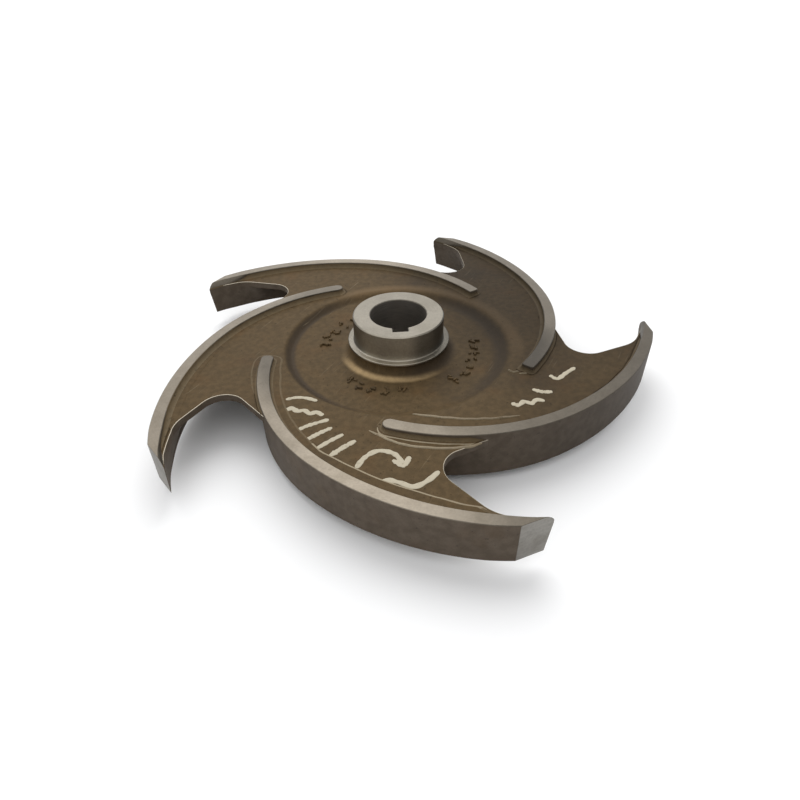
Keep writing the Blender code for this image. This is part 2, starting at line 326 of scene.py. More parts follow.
def scallop_edge(widen):
    """Edge of the web from the rim along the ledge, round the notch, and in to the next vane."""
    run = direction(NOTCH_OUTER_RUN)
    centre = NOTCH_CENTRE - widen * direction(NOTCH_INNER_RUN)
    start = centre + NOTCH_RADIUS * direction(NOTCH_OUTER_RUN - math.pi / 2.0)
    gap = start - RIM_ARC_CENTRE
    ledge_radius = RIM_ARC - RIM_HALF - LEDGE
    corner = start + run * (math.sqrt(gap.dot(run) ** 2 - gap.length_squared + ledge_radius ** 2) - gap.dot(run))
    corner_angle = math.atan2(*(corner - RIM_ARC_CENTRE).yx) % math.tau
    at_rim = rim_crossing(RIM_ARC - TIP_HALF - LEDGE_AT_TIP) - WEB_SHORT / RIM_ARC
    edge = [ledge_point(a) for a in steps(at_rim, corner_angle + LEDGE_ROUNDING / RIM_ARC, 34)]
    before, after = edge.pop(), corner - LEDGE_ROUNDING * run
    edge += [(1 - t) ** 2 * before + 2 * t * (1 - t) * corner + t ** 2 * after for t in steps(0.0, 1.0, 8)]
    turn_from, turn_to = 1.5 * math.pi + NOTCH_OUTER_RUN, 0.5 * math.pi + NOTCH_INNER_RUN
    edge += [centre + NOTCH_RADIUS * direction(a) for a in steps(turn_from, turn_to, 24)]
    return edge + [edge[-1].lerp(NEXT_ENTRY, t) for t in steps(0.0, INSIDE_VANE, 8)[1:] + [1.0]]


def vane_line():
    """Middle line of the vane from where it leaves the web out to the rim."""
    points = [MIDDLE_ARC_CENTRE + MIDDLE_ARC * direction(a) for a in steps(VANE_ENTRY, RIM_TO_MIDDLE, 8)]
    outer = steps(RIM_TO_MIDDLE, rim_crossing(RIM_ARC) - WEB_SHORT / RIM_ARC, 24)
    return points + [RIM_ARC_CENTRE + RIM_ARC * direction(a) for a in outer[1:]]


def spun_arc():
    """The spun part's edge that one fifth of the web joins."""
    first = math.atan2(ENTRY.y, ENTRY.x)
    return [SPUN_TO * direction(first + a) for a in steps(math.tau / VANES, 0.0, SPUN_STEPS // VANES)]


FREE_EDGES = [scallop_edge(WIDER_NOTCH.get(k, 0.0)) for k in range(VANES)]
print("scallop depth, mm:", round((RIM_RADIUS - min(p.length for p in FREE_EDGES[0])) / MM, 1))

# %% [markdown]
# ## Hub, dish and web
#
# The bore with its keyway isn't round, so its outline is extruded, and the flat faces between it
# and the spun rings are filled at the hub's top and at the nose. The dish was cast a little off the axis: its slope is narrow on
# the left and wide on the right, so the points of the slope are moved by their angle. The edges of
# the scallops are rounded as a grinding wheel leaves them.

# %% Build the hub and web
BORE_RADIUS, KEYWAY_HALF, KEYWAY_REACH, BORE_CHAMFER = 19.05 * MM, 5.0 * MM, 23.1 * MM, 0.5 * MM
BORE_STEPS = 180
WEB_EDGE = 1.0 * MM
SKIN, WALL, WORN, GROUND, TURNED, FACED, BORED, EDGE, FILLET, TIP = range(10)


def bore_outline(grow, height):
    """Outline of the bore and its keyway at a height, grown all round for the chamfers."""
    radius, half, reach = BORE_RADIUS + grow, KEYWAY_HALF + grow, KEYWAY_REACH + grow
    opening = math.asin(half / radius)
    points = [radius * direction(a) for a in steps(opening - math.pi / 2, 1.5 * math.pi - opening, BORE_STEPS)]
    points += [Vector((x, -reach)) for x in steps(-half, half, 4)]
    return [lift(p, height) for p in points]


def spin_profile(bm, profile, turn):
    """Profile spun once about the axis, closed where it ends."""
    verts = [bm.verts.new(turn @ Vector((p.x, 0.0, p.y))) for p in profile]
    edges = [bm.edges.new(pair) for pair in zip(verts, verts[1:])]
    bmesh.ops.spin(bm, geom=verts + edges, axis=(0.0, 0.0, 1.0), cent=(0.0, 0.0, 0.0), dvec=(0.0, 0.0, 0.0),
                   steps=SPUN_STEPS, angle=math.tau, use_merge=True, use_duplicate=False)


def on_ring(vert, radius, height):
    return abs(vert.co.xy.length - radius) < MERGE and abs(vert.co.z - height) < MERGE


def ring_edges(bm, radius, height):
    """Edges of a round ring at a radius and height."""
    return [e for e in bm.edges if all(on_ring(v, radius, height) for v in e.verts)]


def shift_dish(bm):
    """Moves the points of the dish's slope, narrow on the left and wide on the right."""
    for vert in bm.verts:
        radius = vert.co.xy.length
        if vert.co.z > DISH_FLOOR - MERGE and DISH_INNER - MERGE < radius < DISH_OUTER:
            inner = DISH_INNER - DISH_OFF_CENTRE * vert.co.x / radius
            share = (radius - DISH_INNER) / (DISH_OUTER - DISH_INNER)
            vert.co.xy = vert.co.xy * (mix(inner, DISH_OUTER, share) / radius)


def add_web_fifth(bm, k):
    """One fifth of the web. Returns the edges of its scallop, and the walls where it joins."""
    free, arc_in = FREE_EDGES[k], spun_arc()
    outline = free + arc_in + vane_line()
    ring = [bm.verts.new(turned(k) @ lift(p, WEB_TOP)) for p in outline]
    top = bm.faces.new(ring)
    made = bmesh.ops.extrude_face_region(bm, geom=[top])["geom"]
    lowered = [g for g in made if isinstance(g, bmesh.types.BMVert)]
    bmesh.ops.translate(bm, verts=lowered, vec=(0.0, 0.0, WEB_LOW - WEB_TOP))
    sides = [next(f for f in bm.edges.get(pair).link_faces if len(f.verts) == 4)
             for pair in zip(ring, ring[1:])]
    scallop, joint = sides[:len(free) - 2], sides[len(free) - 1:len(free) + len(arc_in)]
    level = [e for f in scallop for e in f.edges if abs(e.verts[0].co.z - e.verts[1].co.z) < MERGE]
    return level, joint


def build_hub_and_web(materials):
    bm = bmesh.new()
    start = Matrix.Rotation(FIRST_TURN + math.atan2(ENTRY.y, ENTRY.x), 4, "Z")
    spin_profile(bm, upper_profile(), start)
    spin_profile(bm, lower_profile(), start)
    shift_dish(bm)

    level, joint = [], []
    for k in range(VANES):
        edges, sides = add_web_fifth(bm, k)
        level += edges
        joint += sides
    bmesh.ops.delete(bm, geom=joint, context="FACES")
    worn = [f for f in round_edges(bm, level, WEB_EDGE, 3) if f.calc_center_median().z > WEB_TOP - WEB_EDGE]
    bmesh.ops.remove_doubles(bm, verts=bm.verts, dist=MERGE)

    verts, edges = ring_of(bm, bore_outline(BORE_CHAMFER, HUB_TOP))
    bore_top = edges
    for grow, height in ((0.0, HUB_TOP - BORE_CHAMFER), (0.0, BORE_CHAMFER), (BORE_CHAMFER, 0.0)):
        verts, edges = extrude_ring(bm, verts, edges, bore_outline(grow, height))
    for inner, radius, height in ((bore_top, HUB_RADIUS - HUB_CHAMFER, HUB_TOP), (edges, NOSE_RADIUS, 0.0)):
        bmesh.ops.triangle_fill(bm, edges=inner + ring_edges(bm, radius, height), use_beauty=True)

    bm.normal_update()
    for face in worn:
        face.material_index = EDGE
    for face in bm.faces:
        centre = face.calc_center_median()
        radius, height = centre.xy.length, centre.z
        if radius < KEYWAY_REACH + MERGE and MERGE < height < HUB_TOP - BORE_CHAMFER:
            face.material_index = BORED
        elif radius < NOSE_RADIUS + MERGE and (height > HUB_TOP - BORE_CHAMFER or height < MERGE):
            face.material_index = FACED
        elif radius < COLLAR_RADIUS + MERGE and height > COLLAR_LOW:
            face.material_index = TURNED
        elif radius > SPUN_TO and abs(face.normal.z) < 0.1:
            face.material_index = WALL
    print("edges that are open:", sum(1 for e in bm.edges if len(e.link_faces) != 2))
    return finish_piece("hub_and_web", bm, materials)

# %% [markdown]
# ## The vanes
#
# A vane is a wall of even height above, trimmed below to a shallow cone that clears the pump's
# wear plate. The wall is swept from the rim to the nose with one section for each station, so its
# low edge can follow the cone. Past the last station that shows above the web, only a short rib
# end is seen. Each of the five ends was fettled by hand, so each has its own squareness.

# %% Sides of a vane
LOW_AT_RIM, LOW_AT_EYE, EYE_RADIUS = 9.6 * MM, 0.4 * MM, 44.0 * MM
HIDDEN_TOP = 26.0 * MM
TOP_EDGE, TIP_EDGE, NOSE_ROUNDING = 0.35 * MM, 0.3 * MM, 2.4 * MM
CONVEX, CONCAVE = 1.0, -1.0
RIM_STATIONS, MIDDLE_STATIONS, INLET_STATIONS, END_STATIONS = 46, 38, 30, 24
ROUND, SQUARE = 2.0, 5.0
# Squareness and length of each vane's end, in the order of the vanes from the front one
RIB_ENDS = [(3.0, 4.2 * MM), (ROUND, 4.6 * MM), (SQUARE, 3.4 * MM), (SQUARE, 3.2 * MM), (ROUND, 4.8 * MM)]


def low_edge(point):
    """Height of the cone that trims the vanes' low edges."""
    share = (point.length - EYE_RADIUS) / (RIM_RADIUS - EYE_RADIUS)
    return LOW_AT_EYE + (LOW_AT_RIM - LOW_AT_EYE) * share


def side_point(side, extra, share):
    """Point beside a vane. The share is 0 at the rim, 1 where the arcs meet and 2 at its end."""
    if share <= 1.0:
        crossing = rim_crossing(RIM_ARC + side * (TIP_HALF + extra))
        angle = mix(crossing, RIM_TO_MIDDLE, share)
        return RIM_ARC_CENTRE + (RIM_ARC + side * (rim_half(angle) + extra)) * direction(angle)
    angle = mix(RIM_TO_MIDDLE, MIDDLE_TO_INLET, share - 1.0)
    return MIDDLE_ARC_CENTRE + (MIDDLE_ARC + side * (middle_half(angle) + extra)) * direction(angle)


def inlet_point(side, extra, share):
    """Point beside the hidden inner run, from the rib's end to the nose."""
    angle = mix(MIDDLE_TO_INLET, VANE_NOSE, share)
    half = mix(MIDDLE_HALF, NOSE_HALF, share) + extra
    return INLET_ARC_CENTRE + (INLET_ARC + side * half) * direction(angle)


def end_point(end, extra, turn):
    """Point round a rib's end, from its concave side at -90 degrees to its convex side at 90."""
    squareness, length = end
    across = math.copysign(abs(math.sin(turn)) ** (2.0 / squareness), turn) * (MIDDLE_HALF + extra)
    along = abs(math.cos(turn)) ** (2.0 / squareness) * (length + extra)
    outward = direction(MIDDLE_TO_INLET)
    ahead = Vector((outward.y, -outward.x))
    return MIDDLE_ARC_CENTRE + MIDDLE_ARC * outward + across * outward + along * ahead


UPPER_SHARES = ([0.0, 0.003, 0.006, 0.010, 0.015] + steps(0.0, 1.0, RIM_STATIONS)[1:]
                + steps(1.0, 2.0, MIDDLE_STATIONS)[1:])
# The fillets stop a little short of the rim, inside the shoulder
FILLET_SHARES = UPPER_SHARES[2:]
END_TURNS = steps(-math.pi / 2.0, math.pi / 2.0, END_STATIONS)
print("stations of one vane:", len(UPPER_SHARES), "above and", INLET_STATIONS, "hidden")


FAR, PAST_RIM = 99.0 * MM, 12.0 * MM
BACK = Matrix.Rotation(-math.tau / VANES, 2)


def scallop_beside(k, side):
    """Scallop's edge on one side of a vane, run on a little past the rim."""
    edge = FREE_EDGES[k] if side == CONCAVE else [BACK @ p for p in FREE_EDGES[k - 1]]
    return [edge[0] + PAST_RIM * (edge[0] - edge[1]).normalized()] + edge


def web_gap(place, edge):
    """How far out from the wall the scallop's edge is, in the measure that place takes."""
    start = place(0.0)
    out = place(MM) - start
    gaps = [FAR]
    for a, b in zip(edge, edge[1:]):
        along = b - a
        cross = out.cross(along)
        if abs(cross) > 0.0:
            reach, share = (a - start).cross(along) / cross, (a - start).cross(out) / cross
            if reach > 0.0 and 0.0 <= share <= 1.0:
                gaps.append(reach * MM)
    return min(gaps)


# Width and depth under the vane's top of the points down the hollow side
SHOULDER = [(1.0, 6.8 * MM), (1.0, 4.6 * MM), (0.92, 3.7 * MM), (0.56, 2.0 * MM)]
SHOULDER_COVER = 0.04 * MM
# Shares from which and to which each vane's shoulder fades in towards the rim
SHOULDER_FADES = [(0.13, 0.03), (0.2, 0.09), (0.2, 0.08), (0.24, 0.1), (0.13, 0.03)]
CORNER_SHARE, CORNER_CUT, SHOULDER_FOOT = 0.015, 0.2, 0.3


def shoulder_width(k, share):
    """Width of the shoulder that fills the ledge's corner just before the rim."""
    gap = web_gap(lambda extra: side_point(CONCAVE, extra, share), scallop_beside(k, CONCAVE))
    corner = 1.0 - CORNER_CUT * (1.0 - min(1.0, share / CORNER_SHARE)) ** 2
    return (gap + SHOULDER_COVER) * corner * ease(*SHOULDER_FADES[k], share)


def wall_section(place, top, shoulder=0.0):
    """Section of the wall. The place gives the point for a side and an inset."""
    inner, outer = place(CONCAVE, 0.0), place(CONVEX, 0.0)
    return ([lift(place(CONCAVE, SHOULDER_FOOT * shoulder), low_edge(inner))]
            + [lift(place(CONCAVE, shoulder * s), top - d) for s, d in SHOULDER]
            + [lift(inner, top - TOP_EDGE), lift(place(CONCAVE, -TOP_EDGE), top),
               lift(place(CONVEX, -TOP_EDGE), top), lift(outer, top - TOP_EDGE), lift(outer, low_edge(outer))])


WALL_FINISHES = [WALL, WALL, FILLET, GROUND, GROUND, GROUND, GROUND, GROUND, WALL, GROUND]


def add_wall(bm, k, turn):
    """Wall from the rim to the nose, with its tip's edges broken."""
    rings = [wall_section(lambda side, extra: side_point(side, extra, share), RIB_TOP, shoulder_width(k, share))
             for share in UPPER_SHARES]
    rings += [wall_section(lambda side, extra: inlet_point(side, extra, share), HIDDEN_TOP)
              for share in steps(1.0 / INLET_STATIONS, 1.0, INLET_STATIONS - 1)]
    rings = [[turn @ p for p in ring] for ring in rings]
    tip_face, nose_face = sweep(bm, rings, WALL_FINISHES, (TIP, WALL))
    round_edges(bm, list(nose_face.edges), NOSE_ROUNDING, 4)
    round_edges(bm, list(tip_face.edges), TIP_EDGE, 2, GROUND)


def add_rib_end(bm, turn, end):
    """The rib's end above the web."""
    levels = [(0.0, HIDDEN_TOP), (0.0, RIB_TOP - TOP_EDGE), (-TOP_EDGE, RIB_TOP)]
    rings = [[turn @ lift(end_point(end, extra, t), height) for t in END_TURNS] for extra, height in levels]
    verts, edges = ring_of(bm, rings[0])
    bmesh.ops.edgeloop_fill(bm, edges=edges)
    verts, edges = extrude_ring(bm, verts, edges, rings[1], [WALL] * len(verts))
    verts, edges = extrude_ring(bm, verts, edges, rings[2], [GROUND] * len(verts))
    bmesh.ops.edgeloop_fill(bm, edges=edges, mat_nr=GROUND)


# %% [markdown]
# ## Fillets where the vanes meet the web
#
# Sand holds no sharp inside corner, so a rib flows into the web through a small fillet. The
# pattern's loose pieces also left a low flange beside some ribs, with a worn step at its edge:
# the pale lines that run along the vanes. A swept section makes the fillet, the flange and its
# step in one, buried in the web and in the wall so that it needs no cutting.

# %% Flanges beside the ribs
# Share along the convex side at which the web ends
WEB_END = 1.515
EDGE_MARGIN = 1.15 * MM
# Radius and width in mm of the fillet or flange, on the concave and the convex side of each vane
FLANGES = [
    ([(78, 2.4), (84, 4.6), (88, 5.3), (92, 6.6), (117, 6.6), (123, 6.3), (127, 7.5), (136, 8.8), (150, 8.4),
      (155, 6.9), (176, 5.0)], [(84, 1.8), (89, 5.6), (97, 5.4), (105, 2.4), (112, 1.6)]),
    ([(76, 2.5), (176, 2.5)], [(80, 2.2), (84, 3.2), (112, 2.9)]),
    ([(76, 3.5), (176, 3.5)], [(76, 2.0), (112, 2.0)]),
    ([(76, 3.6), (176, 3.6)], [(76, 1.8), (112, 1.8)]),
    ([(76, 3.4), (114, 3.5), (125, 3.9), (131, 4.8), (136, 5.6), (147, 6.2), (176, 5.0)], [(76, 1.9), (112, 1.8)]),
]
# Radius of each vane's fillet on its concave side; it is 2 mm on the convex side
FILLETS = [2.2 * MM, 2.4 * MM, 3.4 * MM, 3.5 * MM, 3.3 * MM]
# Side of a vane whose flange edge is worn bright, and the radius from which it is
WORN_EDGES = {0: (CONCAVE, 114.0 * MM), 1: (CONVEX, 91.0 * MM)}
FLANGE_RISE, FLANGE_FROM, STEP_FILLET = 0.5 * MM, 0.5 * MM, 2.0 * MM


def lookup(table, radius):
    """Value in a table of radius and value, in mm."""
    radius = radius / MM
    for (near, low), (far, high) in zip(table, table[1:]):
        if radius <= far:
            return mix(low, high, (radius - near) / (far - near)) * MM
    return table[-1][1] * MM


def wander(rng, size):
    """Smooth random change along a vane, of about a size."""
    waves = [(rng.uniform(2.0, 19.0), rng.uniform(0.0, math.tau)) for _ in range(7)]
    return lambda share: size / math.sqrt(len(waves)) * sum(math.sin(f * share * math.pi + p) for f, p in waves)


def upper_section(width, fillet):
    """Section of a fillet and flange, as distance from the wall and height."""
    fillet = min(fillet, 0.85 * width)
    rise = FLANGE_RISE * mix(0.0, 1.0, (width - fillet - FLANGE_FROM) / MM)
    level = WEB_TOP + rise
    points = [Vector((-1.0 * MM, level + fillet + 0.2 * MM))]
    points += arc(Vector((fillet + 0.04 * MM, level + fillet)), fillet, 180.0, 270.0, 7)
    points += [Vector((mix(fillet, width, 0.5) + 0.04 * MM, level - 0.06 * rise)),
               Vector((max(fillet + 0.1 * MM, width - 0.8 * MM), level - 0.1 * rise)),
               Vector((width + 0.05 * MM, level - 0.4 * rise)), Vector((width + 0.45 * MM, WEB_TOP - 0.03 * MM)),
               Vector((width + 0.5 * MM, WEB_TOP - 0.6 * MM)), Vector((-1.0 * MM, WEB_TOP - 1.4 * MM))]
    return points


def upper_finishes(edge):
    """Finish of each strip of that section, with one for the flange's edge."""
    return [FILLET] * 7 + [SKIN] * 3 + [edge] * 2 + [SKIN] * 3


def rib_stations(k, end):
    """Stations round a rib: a place for each distance from the wall, its side, share and gap."""
    stations = []
    for share in FILLET_SHARES:
        place = lambda extra, share=share: side_point(CONCAVE, extra, share)
        stations.append((place, CONCAVE, share, web_gap(place, scallop_beside(k, CONCAVE))))
    for turn in END_TURNS[1:-1]:
        place = lambda extra, turn=turn: end_point(end, extra, turn)
        stations.append((place, math.sin(turn), 2.0, FAR))
    for share in [s for s in reversed(UPPER_SHARES) if s > WEB_END] + [WEB_END]:
        place = lambda extra, share=share: side_point(CONVEX, extra, share)
        stations.append((place, CONVEX, share, web_gap(place, scallop_beside(k, CONVEX))))
    return stations


def add_flange(bm, k, turn, end, rng):
    """Fillet, flange and step round one rib."""
    shift = wander(rng, 0.2 * MM)
    rings = []
    for place, side, share, gap in rib_stations(k, end):
        radius = place(0.0).length
        concave, convex = (lookup(table, radius) for table in FLANGES[k])
        width = mix(concave, convex, (side + 1.0) / 2.0) + shift(share * side)
        width = max(0.8 * MM, min(width, gap - EDGE_MARGIN))
        fillet = mix(FILLETS[k], STEP_FILLET, (side + 1.0) / 2.0)
        rings.append([turn @ lift(place(p.x), p.y) for p in upper_section(width, fillet)])
    sweep(bm, rings, upper_finishes(WORN if k in WORN_EDGES else SKIN), (GROUND, SKIN))
    for face in [f for f in bm.faces if f.material_index == WORN]:
        worn_side, worn_from = WORN_EDGES[k]
        place = (turn.inverted() @ face.calc_center_median()).xy
        beyond = (place - MIDDLE_ARC_CENTRE).length - MIDDLE_ARC
        if beyond * worn_side < 0.0 or place.length < worn_from:
            face.material_index = FILLET

# %% Fillets under the web
LOWER_FILLET, LOWER_OVERRUN = 5.0 * MM, 0.3 * MM
LEDGE_DROP, LEDGE_GAP = 16.0 * MM, 7.0 * MM
LOWER_STEPS = 6


def lower_section(place, width, drop, straight, overrun):
    """Section of a fillet below the web, from hollow to straight, that follows the underside."""
    def under(distance, fall):
        point = place(distance)
        return lift(point, underside(point.length) - fall)

    section = [under(-1.0 * MM, drop + MM)]
    for share in steps(0.0, 1.0, LOWER_STEPS):
        turn = share * math.pi / 2.0
        out = mix(1.0 - math.cos(turn), share, straight)
        fall = mix(1.0 - math.sin(turn), 1.0 - share, straight)
        section.append(under(0.04 * MM + width * out, drop * fall))
    return section + [under(width + overrun, -0.9 * MM), under(-1.0 * MM, -1.5 * MM)]


def add_lower_fillet(bm, k, turn, side):
    """Fillet between the web's underside and one side of the vane, from the rim to the cove."""
    edge = scallop_beside(k, side)
    rings = []
    shown = FILLET_SHARES if side == CONCAVE else [WEB_END] + [s for s in UPPER_SHARES if s > WEB_END]
    for share in shown:
        place = lambda extra, share=share: side_point(side, extra, share)
        gap = web_gap(place, edge)
        ledge = ease(LEDGE_GAP * 2.0, LEDGE_GAP, gap) if side == CONCAVE else 0.0
        width = mix(min(LOWER_FILLET, gap - EDGE_MARGIN), gap - 0.12 * MM, ledge)
        drop = mix(width, LEDGE_DROP, ledge)
        rings.append(lower_section(place, width, drop, ledge, mix(LOWER_OVERRUN, 0.0, ledge)))
    for share in steps(0.0, 0.8, INLET_STATIONS)[1:]:
        place = lambda extra, share=share: inlet_point(side, extra, share)
        width = mix(LOWER_FILLET, 0.8 * MM, (share - 0.35) / 0.45)
        rings.append(lower_section(place, width, width, 0.0, LOWER_OVERRUN))
    sweep(bm, [[turn @ p for p in ring] for ring in rings], [WALL] * len(rings[0]), (GROUND, SKIN))


# %% Build the vanes
def build_vane(k, materials):
    """One vane with the fillets above and below the web."""
    rng = random.Random(71 + k)
    bm = bmesh.new()
    turn, end = turned(k), RIB_ENDS[k]
    add_wall(bm, k, turn)
    add_rib_end(bm, turn, end)
    add_flange(bm, k, turn, end, rng)
    add_lower_fillet(bm, k, turn, CONCAVE)
    add_lower_fillet(bm, k, turn, CONVEX)
    return finish_piece("vane_%d" % (k + 1), bm, materials)


# %% [markdown]
# ## Lines left by the mould
#
# Where two parts of the mould met, iron ran a little way into the joint and left a low ridge. It
# was rubbed smooth and bright by handling. The ridges follow the ribs a few millimetres off, so
# each is a rounded ribbon along a smooth path, which rises and falls a little on its way.

# %% Mould lines
RIDGE_TAPER, RIDGE_SINK = 0.12, 0.4 * MM
RIDGE_SECTION = [(-1.15, -1.0), (-1.0, 0.0), (-0.6, 0.7), (0.0, 1.0), (0.6, 0.7), (1.0, 0.0), (1.15, -1.0)]


def smooth_path(points, count):
    """Smooth path through points, by a Catmull-Rom curve."""
    padded = [2 * points[0] - points[1]] + points + [2 * points[-1] - points[-2]]
    path = []
    for a, b, c, d in zip(padded, padded[1:], padded[2:], padded[3:]):
        for t in steps(0.0, 1.0, count)[:-1]:
            path.append(0.5 * (2 * b + (c - a) * t + (2 * a - 5 * b + 4 * c - d) * t ** 2
                               + (3 * b - a - 3 * c + d) * t ** 3))
    return path + [points[-1]]


# Path in mm, height and half width in mm of each line
MOULD_LINES = [
    ([(-23.6, -90.9), (-14.7, -98.1), (-6.6, -103.4), (1.5, -106.6), (15.2, -109.4), (29.1, -109.4),
      (39.0, -106.9)], 0.7, 0.9),
    ([(-11.6, -93.7), (-3.3, -97.0), (10.6, -100.7), (24.5, -102.8), (38.7, -102.7)], 0.7, 0.9),
    ([(2.7, -78.2), (18.6, -82.4), (34.1, -85.6), (48.7, -86.3), (65.6, -85.2)], 0.6, 0.9),
    ([(68.6, -38.5), (71.1, -41.7), (75.2, -41.0)], 0.8, 0.7),
    ([(74.5, -44.1), (77.0, -43.6), (79.8, -43.9)], 0.6, 0.6),
]


def build_mould_lines(materials):
    rng = random.Random(9)
    bm = bmesh.new()
    for corners, height, half in MOULD_LINES:
        path = smooth_path([Vector(p) * MM for p in corners], 8)
        shift, swell = wander(rng, 0.12 * MM), wander(rng, 0.2)
        rings = []
        for i, point in enumerate(path):
            share = i / (len(path) - 1)
            ahead = (path[min(i + 1, len(path) - 1)] - path[max(i - 1, 0)]).normalized()
            across = Vector((-ahead.y, ahead.x))
            taper = math.sqrt(min(1.0, (0.01 + min(share, 1.0 - share)) / RIDGE_TAPER))
            wide, tall = half * MM * taper, height * MM * taper * max(0.4, 1.0 + swell(share))
            rings.append([lift(point + across * (shift(share) + wide * s),
                               WEB_TOP + (tall * h if h > 0.0 else RIDGE_SINK * h)) for s, h in RIDGE_SECTION])
        sweep(bm, rings)
    return finish_piece("mould_lines", bm, materials, 50.0)


# %% [markdown]
# ## Raised marks on the dish
#
# A foundry rams small marks into the mould beside the hub, in three short arcs. Here they are
# plain pips and bars that spell nothing. Each one is a small block with rounded edges, pushed a
# little out of line, since the marks were pressed in the sand one at a time.

# %% Cast marks
MARK_ARCS = [(227.0, 267.0, 50.0, 5), (128.0, 171.0, 51.5, 5), (309.0, 364.0, 52.5, 7)]
MARK_HEIGHT, MARK_SINK = 1.5 * MM, 0.5 * MM
MARK_CELL = 8.0 * MM
PIP_SIZES = [(2.2, 2.0), (4.2, 1.6), (1.6, 3.4), (3.0, 1.8), (5.0, 1.6)]


def add_pip(bm, centre, turn, size, height):
    """Small raised block with soft edges, sunk a little into the dish."""
    made = bmesh.ops.create_cube(bm, size=1.0)["verts"]
    block = Matrix.Diagonal((size[0], size[1], height + MARK_SINK, 1.0))
    place = Matrix.Translation(lift(centre, DISH_FLOOR + (height - MARK_SINK) / 2.0))
    bmesh.ops.transform(bm, matrix=place @ Matrix.Rotation(turn, 4, "Z") @ block, verts=made)
    top = [v for v in made if v.co.z > DISH_FLOOR]
    bmesh.ops.scale(bm, vec=(0.72, 0.72, 1.0), verts=top,
                    space=Matrix.Translation(-lift(centre, 0.0)))
    edges = {e for v in made for e in v.link_edges}
    round_edges(bm, list(edges), 0.2 * MM, 2)


def build_cast_marks(materials):
    rng = random.Random(5)
    bm = bmesh.new()
    for start, end, radius, cells in MARK_ARCS:
        for angle in steps(math.radians(start), math.radians(end), cells - 1):
            outward = direction(angle)
            along = Vector((-outward.y, outward.x))
            for _ in range(rng.choice((3, 4, 5))):
                across = rng.uniform(-0.5, 0.5) * MARK_CELL
                beside = rng.uniform(-0.32, 0.32) * MARK_CELL
                centre = outward * (radius * MM + across) + along * beside
                width, depth = rng.choice(PIP_SIZES)
                spin_angle = angle + rng.choice((0.0, math.pi / 2.0, 0.6, -0.6)) + rng.uniform(-0.2, 0.2)
                add_pip(bm, centre, spin_angle, (width * MM, depth * MM), MARK_HEIGHT * rng.uniform(0.6, 1.0))
    return finish_piece("cast_marks", bm, materials, 60.0)


# %% [markdown]
# ## Inspection strokes
#
# A hand with a paint marker left pale strokes on the web. Here they are a tick, waves and tally
# strokes that mean nothing. A stroke is a very low ribbon: it follows a smooth path, its width
# swells where the marker rests, and it has the slight rounding of thick paint.

# %% Paint strokes
PAINT_HEIGHT, PAINT_SINK = 0.16 * MM, 0.25 * MM
PAINT_HALF = 1.5 * MM
# Corner points of each stroke in mm, in plan
STROKES = [
    [(-74.0, -57.5), (-68.0, -56.0), (-61.5, -57.0), (-54.5, -60.5)],
    [(-73.5, -68.0), (-69.5, -66.5), (-66.0, -69.5), (-62.0, -69.0), (-58.5, -72.5), (-54.5, -71.5), (-50.5, -75.0)],
    [(-65.5, -87.5), (-60.0, -84.0), (-54.0, -81.5), (-47.0, -79.0)],
    [(-60.0, -96.5), (-52.5, -91.0), (-45.0, -86.5)],
    [(-53.5, -104.0), (-46.0, -98.0), (-38.5, -93.0)],
    [(-46.0, -110.5), (-39.0, -104.5), (-31.5, -99.0)],
    [(-31.5, -121.0), (-26.5, -113.0), (-19.0, -108.5), (-10.5, -111.5), (-6.0, -119.5)],
    [(-11.5, -116.5), (-6.0, -121.0), (-2.0, -114.5)],
    [(-23.0, -136.0), (-16.0, -131.5), (-9.0, -133.5), (-2.0, -137.0), (5.5, -133.5), (12.5, -127.0)],
    [(63.0, -73.5), (67.0, -75.5), (71.0, -72.5), (75.0, -74.5), (79.0, -71.5), (83.5, -73.0)],
    [(79.0, -61.0), (84.5, -64.0), (90.5, -64.5)],
    [(93.5, -47.5), (97.5, -51.5), (104.5, -46.0), (112.0, -40.5)],
]
STROKE_LIFT = 0.02 * MM


def add_stroke(bm, corners, raised, rng):
    """Ribbon of paint along a path, with round ends."""
    path = smooth_path([Vector(p) * MM for p in corners], 9)
    swell = wander(rng, 0.16)
    half = PAINT_HALF * rng.uniform(0.85, 1.1)
    rings = []
    for i, point in enumerate(path):
        ahead = (path[min(i + 1, len(path) - 1)] - path[max(i - 1, 0)]).normalized()
        across = Vector((-ahead.y, ahead.x))
        share = i / (len(path) - 1)
        inset = min(i, len(path) - 1 - i) / 3.0
        round_off = math.sqrt(1.0 - (1.0 - min(1.0, inset + 0.12)) ** 2)
        wide = half * round_off * (1.0 + swell(share))
        section = [(-1.0, -PAINT_SINK), (-1.0, 0.0), (-0.86, 0.75 * PAINT_HEIGHT), (-0.5, PAINT_HEIGHT),
                   (0.5, PAINT_HEIGHT), (0.86, 0.75 * PAINT_HEIGHT), (1.0, 0.0), (1.0, -PAINT_SINK)]
        rings.append([lift(point + across * (wide * s), WEB_TOP + raised + h) for s, h in section])
    sweep(bm, rings)


def build_paint(materials):
    rng = random.Random(12)
    bm = bmesh.new()
    for i, corners in enumerate(STROKES):
        add_stroke(bm, corners, STROKE_LIFT * i, rng)
    return finish_piece("paint_strokes", bm, materials, 50.0)

# %% [markdown]
# ## How the finishes are written
#
# A finish is a node tree, but it reads better as sums. Value wraps a socket, so adding or
# multiplying two of them adds the Math node that does it. Finish makes any other node, with its
# settings first and its sockets after. All patterns run on Object coordinates in millimetres, so
# a size in a finish is the size on the casting.

